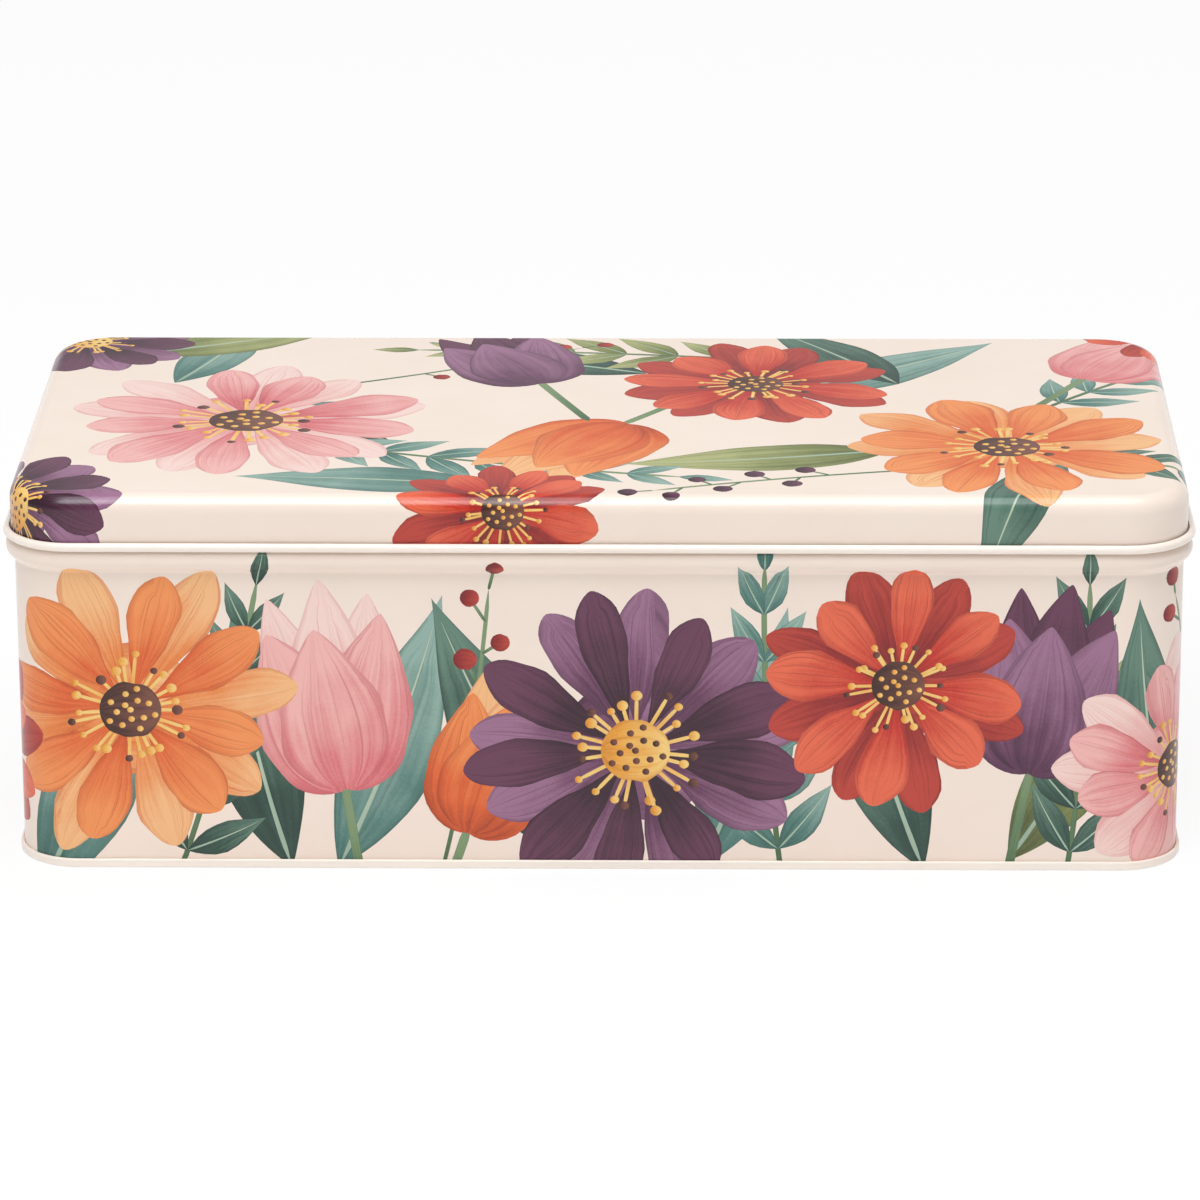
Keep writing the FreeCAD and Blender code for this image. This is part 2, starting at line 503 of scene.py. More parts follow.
@dataclass
class SheetMesh:
    """Gathers one piece of tin: places, normals and faces with their finish, petal shares and bake map."""

    # Corners are told apart by their place in steps of a fifty-thousandth of a millimetre.
    STEPS_PER_MM: ClassVar[int] = 50000

    points: list[tuple[float, float, float]] = field(default_factory=list)
    normals: list[tuple[float, float, float]] = field(default_factory=list)
    faces: list[list[int]] = field(default_factory=list)
    finishes: list[str] = field(default_factory=list)
    shares: list[np.ndarray] = field(default_factory=list)
    maps: list[np.ndarray] = field(default_factory=list)
    known: dict[tuple[int, int, int], int] = field(default_factory=dict)

    def corner(self, point: np.ndarray, normal: np.ndarray) -> int:
        """Index of a corner, shared with any corner already at that place (millimetres)."""
        key = tuple(int(round(c * self.STEPS_PER_MM)) for c in point)
        if key not in self.known:
            self.known[key] = len(self.points)
            self.points.append(tuple(float(c) * MM for c in point))
            self.normals.append(tuple(float(c) for c in normal))
        return self.known[key]

    def face(self, corners: list[int], finish: str, shares: np.ndarray, bake: np.ndarray) -> None:
        """Add a face, unless two of its corners fall together."""
        if len(set(corners)) == len(corners):
            self.faces.append(corners)
            self.finishes.append(finish)
            self.shares.append(shares)
            self.maps.append(bake)

    def sweep(self, plan: Plan, rows: np.ndarray, marks: np.ndarray, finish: str, bake: BakeBox) -> None:
        """Carry rows of a section along the walk; the faces look to the right of the way the rows go.

        Args:
            plan: The walk.
            rows: Outward place, height and normal of each row.
            marks: Lengths along the walk.
            finish: Finish of the faces.
            bake: Part of the bake map that takes them.
        """
        grid = []
        for row in rows:
            xy, out = plan.place(marks, np.full(len(marks), row[0]))
            grid.append([self.corner((*p, row[1]), (*(o * row[2]), row[3])) for p, o in zip(xy, out)])
        steps = np.hypot(*np.diff(rows[:, :2], axis=0).T)
        v = np.concatenate([[0.0], np.cumsum(steps)]) / max(steps.sum(), 1e-9)
        u = (marks - marks[0]) / (marks[-1] - marks[0])
        plain = np.zeros((4, 3))
        for i in range(len(rows) - 1):
            for j in range(len(marks) - 1):
                round_it = ((i, j), (i, j + 1), (i + 1, j + 1), (i + 1, j))
                spots = np.array([(u[b], v[a]) for a, b in round_it])
                self.face([grid[a][b] for a, b in round_it], finish, plain, bake.place(spots))

    def panel(self, plan: Plan, row: np.ndarray, marks: np.ndarray, finish: str, bake: BakeBox) -> None:
        """Fill the loop that a row makes round the walk with one flat face that looks as the row does."""
        xy, _ = plan.place(marks[:-1], np.full(len(marks) - 1, row[0]))
        xy = xy if row[3] > 0 else xy[::-1]
        ring = [self.corner((*p, row[1]), (0, 0, row[3])) for p in xy]
        spots = (xy - xy.min(0)) / (xy.max(0) - xy.min(0))
        self.face(ring, finish, np.zeros((len(ring), 3)), bake.place(spots))

    def make(self, name: str, finishes: dict[str, Material]) -> Piece:
        """Make the gathered faces a mesh object.

        Args:
            name: Name of the piece.
            finishes: Materials by finish name.

        Returns:
            The piece, linked to the scene.
        """
        mesh = bpy.data.meshes.new(name)
        mesh.from_pydata(self.points, [], self.faces)
        used = sorted(set(self.finishes))
        for finish in used:
            mesh.materials.append(finishes[finish])
        slots = {finish: k for k, finish in enumerate(used)}
        mesh.polygons.foreach_set("material_index", [slots[f] for f in self.finishes])
        petal = mesh.attributes.new("petal", "FLOAT_VECTOR", "CORNER")
        petal.data.foreach_set("vector", np.vstack(self.shares).astype(np.float32).ravel())
        bake = mesh.uv_layers.new(name="OFBake")
        bake.uv.foreach_set("vector", np.vstack(self.maps).astype(np.float32).ravel())
        mesh.polygons.foreach_set("use_smooth", [True] * len(self.faces))
        mesh.normals_split_custom_set_from_vertices(self.normals)
        mesh.update()
        piece = bpy.data.objects.new(name, mesh)
        bpy.context.scene.collection.objects.link(piece)
        return piece


def inside(outline: np.ndarray, points: np.ndarray) -> np.ndarray:
    """Tell which points lie inside a closed outline.

    Args:
        outline: Corner points of the outline.
        points: Points to tell.

    Returns:
        One truth value for each point.
    """
    found = np.zeros(len(points), bool)
    low, high = outline.min(0), outline.max(0)
    near = np.flatnonzero(((points >= low) & (points <= high)).all(1))
    x, y = points[near].T
    crossed = np.zeros(len(near), bool)
    for (ax, ay), (bx, by) in zip(outline, np.roll(outline, -1, axis=0)):
        if ay != by:
            crossed ^= ((ay > y) != (by > y)) & (x < (bx - ax) * (y - ay) / (by - ay) + ax)
    found[near] = crossed
    return found


@dataclass
class Blank:
    """The flat sheet on which the design is printed before it is bent.

    It holds the walk, the rows of its bent outer face and the walk's upright edges. Ink stops a margin
    short of the blank's edge. Outline corners nearer than apart, or spots nearer than snap, become one.
    """

    plan: Plan
    rows: np.ndarray
    marks: np.ndarray
    margin: ClassVar[float] = 0.15
    apart: ClassVar[float] = 0.05
    snap: ClassVar[float] = 0.002

    def __post_init__(self) -> None:
        """Measure over the bent face, from its first row to each row."""
        steps = np.hypot(*np.diff(self.rows[:, :2], axis=0).T)
        self.reach = np.concatenate([[0.0], np.cumsum(steps)])

    def over(self, reach: np.ndarray) -> tuple[np.ndarray, ...]:
        """Outward places, heights, and outward and upward parts of the normals, at lengths over the face."""
        n, z, facing_out, facing_up = (np.interp(reach, self.reach, column) for column in self.rows.T)
        size = np.hypot(facing_out, facing_up)
        return n, z, facing_out / size, facing_up / size

    def lattice(self) -> tuple[list[np.ndarray], list[tuple[int, int]]]:
        """Fold lines of the blank, as points and the pairs of them that are joined."""
        raise NotImplementedError

    def keep_in(self, points: np.ndarray) -> np.ndarray:
        """Points drawn in to the printed part of the blank."""
        raise NotImplementedError

    def bend(self, points: np.ndarray) -> tuple[np.ndarray, np.ndarray]:
        """Places and normals on the bent sheet for points of the blank."""
        raise NotImplementedError

    def bake(self, points: np.ndarray) -> np.ndarray:
        """Bake map places of each face's corners."""
        raise NotImplementedError

    def trimmed(self, stroke: Stroke) -> np.ndarray:
        """A stroke's outline drawn in to the blank, without corners that fall together there."""
        outline = self.keep_in(stroke.outline())
        gaps = np.hypot(*(outline - np.roll(outline, 1, axis=0)).T)
        return outline[gaps > self.apart]

    def print_on(self, sheet: SheetMesh, strokes: list[Stroke], ground: str) -> None:
        """Split the blank along its folds and the strokes' outlines, and add the bent faces.

        Args:
            sheet: Piece that takes the faces.
            strokes: Painted shapes, back to front.
            ground: Finish where nothing is painted.
        """
        spots, edges = self.lattice()
        drawn = [(stroke, self.trimmed(stroke)) for stroke in strokes]
        drawn = [(s, outline) for s, outline in drawn if np.ptp(outline, axis=0).min() > self.margin]
        for _, outline in drawn:
            first, count = len(spots), len(outline)
            spots += list(outline)
            edges += [(first + k, first + (k + 1) % count) for k in range(count)]
        for stroke, _ in drawn:
            if stroke.form not in (Form.ROUND, Form.STEM, Form.VEIN):
                first = len(spots)
                spots += list(self.keep_in(stroke.spine()))
                edges += [(k, k + 1) for k in range(first, len(spots) - 1)]
        flat, _, faces, sources, *_ = delaunay_2d_cdt([Vector(p) for p in spots], edges, [], 0, self.snap)
        flat = np.array([spots[min(source)] if source else tuple(p) for p, source in zip(flat, sources)])
        middles = np.array([flat[corners].mean(0) for corners in faces])
        on_top = np.full(len(faces), -1)
        for k, (_, outline) in enumerate(drawn):
            on_top[inside(outline, middles)] = k
        places, normals = self.bend(flat)
        index = np.array([sheet.corner(p, n) for p, n in zip(places, normals)])
        corners = np.array(faces)
        spots = flat[corners]
        shares = np.zeros((*corners.shape, 3))
        for k in np.unique(on_top[on_top >= 0]):
            mine = on_top == k
            shares[mine] = drawn[k][0].shares(spots[mine].reshape(-1, 2)).reshape(-1, 3, 3)
        finishes = [drawn[k][0].ink if k >= 0 else ground for k in on_top]
        for face in zip(index[corners].tolist(), finishes, shares, self.bake(spots)):
            sheet.face(*face)


@dataclass
class WallBlank(Blank):
    """The body's strip: along it goes round the tin, up it goes up the wall's outer face."""

    relief: Callable[[np.ndarray, np.ndarray], np.ndarray]
    seam_clear: float = 0.6
    bake_rows: int = 3
    bake_height: float = 0.3
    bake_gap: float = 0.005

    def up(self, height: float) -> float:
        """Place up the strip of a height on the straight wall."""
        return height - self.rows[0, 1]

    def lattice(self) -> tuple[list[np.ndarray], list[tuple[int, int]]]:
        """Fold lines of the blank, as points and the pairs of them that are joined."""
        wide, tall = len(self.marks), len(self.reach)
        spots = [(s, v) for v in self.reach for s in self.marks]
        edges = [(i * wide + j, i * wide + j + 1) for i in range(tall) for j in range(wide - 1)]
        edges += [(i * wide + j, (i + 1) * wide + j) for i in range(tall - 1) for j in range(wide)]
        return spots, edges

    def keep_in(self, points: np.ndarray) -> np.ndarray:
        """Points drawn in to the printed part of the blank."""
        end = np.array([self.marks[-1], self.reach[-1]])
        return np.clip(points, np.array([self.seam_clear, self.margin]), end - self.margin)

    def bend(self, points: np.ndarray) -> tuple[np.ndarray, np.ndarray]:
        """Places and normals on the bent sheet for points of the blank."""
        n, z, facing_out, facing_up = self.over(points[:, 1])
        xy, out = self.plan.place(points[:, 0], n + self.relief(points[:, 0], z))
        return np.column_stack([xy, z]), np.column_stack([out * facing_out[:, None], facing_up])

    def bake(self, points: np.ndarray) -> np.ndarray:
        """Bake map places of each face's corners: the strip cut into lengths, one above the other."""
        evenly = self.marks[-1] * np.arange(1, self.bake_rows) / self.bake_rows
        cuts = self.marks[np.searchsorted(self.marks, evenly)]
        starts = np.array([0.0, *cuts])
        longest = np.diff([*starts, self.marks[-1]]).max()
        row = np.searchsorted(cuts, points[..., 0].mean(1))
        across = (points[..., 0] - starts[row][:, None]) / longest
        up = points[..., 1] / self.reach[-1] * self.bake_height
        level = row[:, None] * (self.bake_height + self.bake_gap)
        return np.stack([self.bake_gap + (1 - 2 * self.bake_gap) * across, 0.002 + up + level], -1)


@dataclass
class LidBlank(Blank):
    """The lid's blank: the panel seen from above, with the edge and skirt laid out flat round it."""

    bake_gap: float = 0.005

    @property
    def inset(self) -> float:
        """Outward place of the flat panel's edge."""
        return self.rows[0, 0]

    def lattice(self) -> tuple[list[np.ndarray], list[tuple[int, int]]]:
        """Fold lines of the blank, as points and the pairs of them that are joined."""
        marks = self.marks[:-1]
        wide = len(marks)
        spots: list[np.ndarray] = []
        edges = []
        for i, reach in enumerate(self.reach):
            spots += list(self.plan.place(marks, np.full(wide, self.inset + reach))[0])
            edges += [(i * wide + j, i * wide + (j + 1) % wide) for j in range(wide)]
            if i:
                edges += [((i - 1) * wide + j, i * wide + j) for j in range(wide)]
        return spots, edges

    def past_panel(self, points: np.ndarray) -> tuple[np.ndarray, np.ndarray]:
        """How far points lie outside the flat panel, and the direction outward there."""
        core = np.array([self.plan.half_length, self.plan.half_width]) - self.plan.radius
        over = np.maximum(np.abs(points) - core, 0)
        size = np.maximum(np.hypot(over[:, 0], over[:, 1]), 1e-9)
        return size - (self.plan.radius + self.inset), over / size[:, None] * np.sign(points)

    def keep_in(self, points: np.ndarray) -> np.ndarray:
        """Points drawn in to the printed part of the blank."""
        past, out = self.past_panel(points)
        return points - out * np.maximum(past - (self.reach[-1] - self.margin), 0)[:, None]

    def bend(self, points: np.ndarray) -> tuple[np.ndarray, np.ndarray]:
        """Places and normals on the bent sheet for points of the blank."""
        past, out = self.past_panel(points)
        past = np.maximum(past, 0)
        n, z, facing_out, facing_up = self.over(past)
        xy = points + out * (n - self.inset - past)[:, None]
        return np.column_stack([xy, z]), np.column_stack([out * facing_out[:, None], facing_up])

    def bake(self, points: np.ndarray) -> np.ndarray:
        """Bake map places of each face's corners: the blank as it lies flat, along the map's low edge."""
        half = np.array([self.plan.half_length, self.plan.half_width]) + self.inset + self.reach[-1]
        scale = (1 - 2 * self.bake_gap) / (2 * half[0])
        return (points + half) * scale + self.bake_gap


def new_material(name: str) -> tuple[Material, Tree, Node]:
    """Begin a material.

    Args:
        name: Name of the real material.

    Returns:
        The material, its node tree and its shader.
    """
    material = bpy.data.materials.new(name)
    material.use_nodes = True
    return material, material.node_tree, material.node_tree.nodes["Principled BSDF"]


@dataclass(frozen=True)
class Ink:
    """Ink washed on in one colour family: dark where the brush lets it pool, pale where it runs out."""

    name: str
    deep: str
    middle: str
    pale: str
    streaks: float = 11.0

    def colour(self, tree: Tree) -> Socket:
        """Nodes that give the wash its colour, and the socket it leaves by."""
        petal = add(tree, "Attribute", {"attribute_name": "petal"}).outputs["Vector"]
        parts = add(tree, "SeparateXYZ", {}, {0: petal})
        across = add(tree, "Math", {"operation": "ABSOLUTE"}, {0: parts.outputs["Y"]}).outputs[0]
        where = add(tree, "TexCoord").outputs["Object"]
        # Pigment settles in grains about half a millimetre across.
        grain = add(tree, "TexNoise", {}, {"Vector": where, "Scale": per_metre(0.6), "Detail": 1.0})
        stretch = add(tree, "VectorMath", {"operation": "MULTIPLY"}, {
            0: petal, 1: (1.3, self.streaks / 2, 40.0)})
        streak = add(tree, "TexNoise", {}, {"Vector": stretch.outputs[0], "Scale": 1.0, "Detail": 3.0})
        # A wet wash blooms in patches about 13 mm across.
        wash = add(tree, "TexNoise", {}, {"Vector": where, "Scale": per_metre(13), "Detail": 4.0})
        tone = parts.outputs["X"]
        for source, share in (
            (grain.outputs[0], 0.22),
            (streak.outputs[0], 0.9),
            (wash.outputs[0], 0.9),
            (parts.outputs["Z"], 0.28),
        ):
            tone = add(tree, "Math", {"operation": "MULTIPLY_ADD"}, {0: source, 1: share, 2: tone}).outputs[0]
        spread = add(tree, "MapRange", {"clamp": True}, {"Value": tone, "From Min": 0.86, "From Max": 2.0})
        ramp = add(tree, "ValToRGB", {}, {0: spread.outputs[0]})
        ramp.color_ramp.elements[0].color = linear(self.deep)
        ramp.color_ramp.elements[1].color = linear(self.pale)
        ramp.color_ramp.elements.new(0.42).color = linear(self.middle)
        # Fine veins follow the petal from root to tip.
        fine = add(tree, "VectorMath", {"operation": "MULTIPLY"}, {
            0: petal, 1: (0.4, self.streaks * 1.4, 70.0)})
        lines = add(tree, "TexNoise", {}, {"Vector": fine.outputs[0], "Scale": 1.0, "Detail": 1.0})
        # The wash dries darker along the petal's outline, and the veins darken it in turn.
        colour = ramp.outputs[0]
        for source, low, high, depth in ((across, 0.8, 1.0, 0.42), (lines.outputs[0], 0.55, 0.72, 0.4)):
            amount = add(tree, "MapRange", {"clamp": True}, {
                "Value": source, "From Min": low, "From Max": high, "To Min": 0.0, "To Max": depth})
            colour = add(tree, "Mix", {"data_type": "RGBA"}, {
                0: amount.outputs[0], 6: colour, 7: linear(self.deep)}).outputs[2]
        return colour


@dataclass(frozen=True)
class Ground:
    """White enamel warmed to cream, with a faint unevenness in its rolled-on coat."""

    name: str
    light: str
    shade: str

    def colour(self, tree: Tree) -> Socket:
        """Nodes that give the enamel its colour, and the socket it leaves by."""
        where = add(tree, "TexCoord").outputs["Object"]
        patches = add(tree, "TexNoise", {}, {"Vector": where, "Scale": per_metre(22), "Detail": 5.0})
        return add(tree, "Mix", {"data_type": "RGBA"}, {
            0: patches.outputs[0], 6: linear(self.light), 7: linear(self.shade)}).outputs[2]


@dataclass(frozen=True)
class VarnishedPrint:
    """Printed tinplate under a clear stoving varnish: semi-gloss, faintly rippled, colour beneath."""

    coat: Ink | Ground
    roughness: float = 0.24
    uneven: float = 0.06
    ripple_mm: float = 2.6

    def make(self) -> Material:
        """Build the material."""
        material, tree, shader = new_material("varnished_tinplate_" + self.coat.name)
        where = add(tree, "TexCoord").outputs["Object"]
        haze = add(tree, "TexNoise", {}, {"Vector": where, "Scale": per_metre(9), "Detail": 4.0})
        low, high = self.roughness - self.uneven, self.roughness + self.uneven
        gloss = add(tree, "MapRange", {}, {"Value": haze.outputs[0], "To Min": low, "To Max": high})
        # Stoving leaves a ripple like orange peel; it is drawn coarser than life so that it shows.
        peel = add(tree, "TexNoise", {}, {"Vector": where, "Scale": per_metre(self.ripple_mm), "Detail": 2.0})
        bump = add(tree, "Bump", {}, {"Height": peel.outputs[0], "Strength": 0.05, "Distance": 0.0004})
        tree.links.new(self.coat.colour(tree), shader.inputs["Base Color"])
        tree.links.new(gloss.outputs[0], shader.inputs["Roughness"])
        tree.links.new(bump.outputs[0], shader.inputs["Normal"])
        shader.inputs["IOR"].default_value = 1.5
        return material


@dataclass(frozen=True)
class BareTin:
    """Bright tinplate inside the tin: silver metal with the mill's fine rolling lines and a soft haze."""

    name: str = "bright_tinplate"
    light: str = "#f0eee9"
    dark: str = "#dcd9d3"

    def make(self) -> Material:
        """Build the material."""
        material, tree, shader = new_material(self.name)
        where = add(tree, "TexCoord").outputs["Object"]
        # Rolling lines lie under a millimetre apart and run along the strip.
        long_way = add(tree, "VectorMath", {"operation": "MULTIPLY"}, {
            0: where, 1: (per_metre(60), per_metre(60), per_metre(0.7))})
        grain = add(tree, "TexNoise", {}, {"Vector": long_way.outputs[0], "Scale": 1.0, "Detail": 3.0})
        haze = add(tree, "TexNoise", {}, {"Vector": where, "Scale": per_metre(18), "Detail": 4.0})
        colour = add(tree, "Mix", {"data_type": "RGBA"}, {
            0: haze.outputs[0], 6: linear(self.light), 7: linear(self.dark)})
        rough = add(tree, "Math", {"operation": "MULTIPLY_ADD"}, {0: grain.outputs[0], 1: 0.16, 2: 0.26})
        bump = add(tree, "Bump", {}, {"Height": grain.outputs[0], "Strength": 0.08, "Distance": 0.0002})
        tree.links.new(colour.outputs[2], shader.inputs["Base Color"])
        tree.links.new(rough.outputs[0], shader.inputs["Roughness"])
        tree.links.new(bump.outputs[0], shader.inputs["Normal"])
        shader.inputs["Metallic"].default_value = 1.0
        return material


class Palette:
    """Every finish on the tin, made once and looked up by name."""

    GROUNDS = (
        Ground("cream", "#faebde", "#f5e3d6"),
        Ground("ivory", "#fff6ec", "#fbeee3"),
    )
    INKS = (
        Ink("vermilion", "#861814", "#c62d1f", "#ea6a49"),
        Ink("crimson", "#5a1216", "#901d1d", "#bf4032"),
        Ink("tangerine", "#a83a16", "#e2632a", "#f59655"),
        Ink("apricot", "#c9541f", "#ec8844", "#f8bf86"),
        Ink("plum", "#200b18", "#3a182b", "#693854"),
        Ink("mauve", "#43203a", "#683a5a", "#9f7090"),
        Ink("rose", "#b94450", "#e07c80", "#f4b9b4"),
        Ink("blush", "#d67c7e", "#eeb0ab", "#f8dad2"),
        Ink("sage", "#2c564f", "#517f76", "#93b3a8", 7.0),
        Ink("bottle_green", "#1a322b", "#305246", "#658877", 7.0),
        Ink("olive", "#4c5630", "#7a8449", "#b2b67c", 7.0),
        Ink("stem_green", "#34503c", "#55754f", "#809a70"),
        Ink("vein_green", "#86a48e", "#a4bda8", "#c4d0b6"),
        Ink("pollen", "#c8761a", "#eda53a", "#f8d27e"),
        Ink("umber", "#27130f", "#4d271f", "#7d4c3d"),
    )

    def __init__(self) -> None:
        """Make the materials."""
        self.finishes: dict[str, Material] = {"tin": BareTin().make()}
        for coat in self.GROUNDS + self.INKS:
            self.finishes[coat.name] = VarnishedPrint(coat).make()


@dataclass
class Tin:
    """Sizes that the tin's pieces share, in millimetres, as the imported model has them."""

    plan: Plan = field(default_factory=Plan)
    sheet: float = 0.25
    bead_level: float = 69.85
    bead_height: float = 7.0
    bead_out: float = 1.85
    bead_crest: float = 2.6
    rim_roll: float = 0.9
    roll_turn: float = 290.0
    seam_height: float = 2.0
    seam_lay: float = 0.03
    corner_steps: int = 20
    run_step: float = 26.0

    def __post_init__(self) -> None:
        """Work out the seam's layers and the upright edges that every piece shares."""
        self.hook_slot = self.sheet + 2 * self.seam_lay
        self.bend_level = 2 * self.sheet + self.seam_lay + self.hook_slot / 2
        self.fold = self.hook_slot / 2 + self.sheet
        self.fold_level = self.seam_height - self.fold
        self.marks = self.plan.stations(self.corner_steps, self.run_step)
        self.lid_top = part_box("lid")[1].z / MM


@dataclass
class Body:
    """The wrapped wall with its bead, neck, rolled rim and locked side seam."""

    tin: Tin
    lock_width: float = 4.5
    lock_layers: int = 3
    lock_low: float = 4.85
    line_width: float = 0.3
    line_depth: float = 0.1
    line_edge: float = 0.06
    hair: float = 0.002

    def relief(self, s: np.ndarray, z: np.ndarray) -> np.ndarray:
        """Outward place of the pressed line beside the side seam."""
        across = np.minimum(s, self.line_width - s) / self.line_edge
        top = self.tin.bead_level - self.tin.bead_height / 2
        along = np.minimum(z - self.lock_low, top - z) / self.line_edge
        return -self.line_depth * np.clip(across, 0, 1) * np.clip(along, 0, 1)

    def wall_bends(self) -> tuple[Bend, ...]:
        """Path of the wall's outer face from the seam's bend up to the rim."""
        tin = self.tin
        half = tin.bead_height / 2
        radii = (half ** 2 + tin.bead_out ** 2) / (2 * tin.bead_out)
        slope = math.degrees(math.asin(half / radii))
        rim_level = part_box("body_wall")[1].z / MM - tin.rim_roll
        return (
            Bend(Turn.RUN, self.lock_low - tin.bend_level),
            Bend(Turn.RUN, self.line_edge),
            Bend(Turn.RUN, tin.bead_level - half - self.lock_low - 2 * self.line_edge),
            Bend(Turn.RUN, self.line_edge),
            Bend(Turn.RIGHT, radii - tin.bead_crest, slope),
            Bend(Turn.LEFT, tin.bead_crest, 2 * slope),
            Bend(Turn.RIGHT, radii - tin.bead_crest, slope),
            Bend(Turn.RUN, rim_level - tin.bead_level - half),
        )

    def design(self, blank: WallBlank) -> list[Stroke]:
        """Paint the strip: a loose garden border that runs round the tin.

        Args:
            blank: The flat strip.

        Returns:
            The painted shapes, back to front.
        """
        art = Bouquet(7)
        middle = self.tin.plan.front_start() + self.tin.plan.half_length - self.tin.plan.radius
        foot = blank.up(0.0)
        for x, z, aim, length, ink, bend in (
            (-122, -8, 62, 68, "sage", 0.10), (-66, 0, 108, 60, "bottle_green", -0.12),
            (-56, 0, 64, 66, "sage", 0.1), (-6, 2, 122, 66, "bottle_green", -0.1),
            (22, 0, 66, 62, "sage", 0.12), (70, 0, 112, 60, "bottle_green", -0.1),
            (88, 2, 56, 56, "olive", 0.1), (124, 0, 104, 62, "bottle_green", -0.1),
            (168, 0, 76, 60, "sage", 0.1), (206, 0, 110, 58, "olive", -0.1),
            (246, 0, 66, 62, "bottle_green", 0.1), (292, 4, 118, 60, "sage", -0.1),
            (-164, 2, 112, 60, "bottle_green", -0.1), (-202, 0, 64, 62, "olive", 0.1),
            (-250, 2, 106, 60, "sage", -0.1), (-300, 0, 70, 62, "bottle_green", 0.1),
            (-352, 2, 112, 58, "sage", -0.1), (-396, 2, 70, 62, "bottle_green", 0.1),
            (-428, 0, 112, 60, "sage", -0.1),
        ):
            art.leaf((middle + x, foot + z), aim, length, ink, bend)
        for x, aim, length, ink, bow in (
            (-92, 70, 74, "bottle_green", 0.08), (40, 98, 76, "sage", -0.08),
            (100, 82, 72, "bottle_green", 0.08), (182, 94, 74, "sage", 0.06), (268, 84, 72, "olive", -0.08),
            (-190, 96, 74, "sage", -0.06), (-276, 82, 74, "bottle_green", 0.08),
            (-338, 96, 70, "olive", -0.08), (-416, 84, 74, "bottle_green", -0.06),
        ):
            art.sprig(middle + x, foot - 6, aim, length, ink, bow)
        for x, aim, ink in (
            (-34, 76, "crimson"), (146, 104, "crimson"), (-228, 80, "plum"), (228, 98, "plum"),
        ):
            art.berries(middle + x, foot - 2, aim, 66, ink)
        for x, z, size, aim, hue in (
            (-54, 18, 46, 98, Hue.PINK), (-28, 8, 38, 70, Hue.ORANGE), (92, 22, 42, 80, Hue.LILAC),
            (160, 14, 44, 96, Hue.ORANGE), (236, 16, 44, 84, Hue.PINK), (-176, 16, 42, 84, Hue.LILAC),
            (-246, 14, 46, 98, Hue.ORANGE), (-324, 16, 44, 84, Hue.PINK), (-402, 14, 46, 96, Hue.ORANGE),
        ):
            art.tulip(middle + x, foot + z, size, aim, hue, z + 14)
        for x, z, size, hue, petals, spin in (
            (-100, 36, 70, Hue.ORANGE, 8, 12), (8, 27, 78, Hue.PURPLE, 9, 5), (64, 42, 60, Hue.RED, 8, 20),
            (126, 22, 58, Hue.PINK, 8, 0), (196, 36, 68, Hue.RED, 8, 8), (272, 28, 62, Hue.PURPLE, 9, 14),
            (-146, 24, 54, Hue.RED, 8, 4), (-212, 38, 62, Hue.PINK, 8, 0),
            (-286, 30, 72, Hue.PURPLE, 9, 10), (-358, 40, 58, Hue.RED, 8, 6),
        ):
            art.daisy(middle + x, foot + z, size, hue, petals, spin)
        round_trip = self.tin.plan.length()
        return [
            replace(stroke, root=(stroke.root[0] + shift, stroke.root[1]))
            for stroke in art.strokes for shift in (-round_trip, 0.0)
        ]

    def build(self, finishes: dict[str, Material]) -> Piece:
        """Build and dress the wall.

        Args:
            finishes: Materials by finish name.

        Returns:
            The wall.
        """
        tin, sheet = self.tin, SheetMesh()
        hook = (
            Bend(Turn.RUN, tin.fold_level - tin.seam_lay - tin.bend_level),
            Bend(Turn.RIGHT, tin.hook_slot / 2, 180),
        )
        roll = (Bend(Turn.LEFT, tin.rim_roll, tin.roll_turn),)
        bends = hook + self.wall_bends() + roll
        section = Section((tin.hook_slot, tin.fold_level - tin.seam_lay), -90, bends, 0.0, tin.sheet)
        near, far = section.near_face(), section.far_face()
        low = np.vstack(near[:2])
        wall = np.vstack([near[1][-1:], *near[2:-1]])
        lip = np.vstack([near[-2][-1:], near[-1]])
        lining = np.vstack(far)[::-1]
        seam_marks = (self.line_edge, self.line_width - self.line_edge, self.line_width)
        marks = np.sort(np.concatenate([tin.marks, seam_marks]))
        blank = WallBlank(tin.plan, wall, marks, self.relief)
        blank.print_on(sheet, self.design(blank), "cream")
        for rows, finish, bake in (
            (low, "cream", BakeBox(0.005, 0.916, 0.5, 0.004)),
            (lip, "cream", BakeBox(0.51, 0.916, 0.48, 0.004)),
            (lining, "tin", BakeBox(0.005, 0.925, 0.99, 0.07)),
            (np.array([lining[-1], low[0]]), "tin", BakeBox(0.005, 0.9205, 0.99, 0.0015)),
            (np.array([lip[-1], lining[0]]), "tin", BakeBox(0.005, 0.9225, 0.99, 0.0015)),
        ):
            sheet.sweep(tin.plan, rows, marks, finish, bake)
        self.lock(sheet)
        return sheet.make("body_wall_printed", finishes)

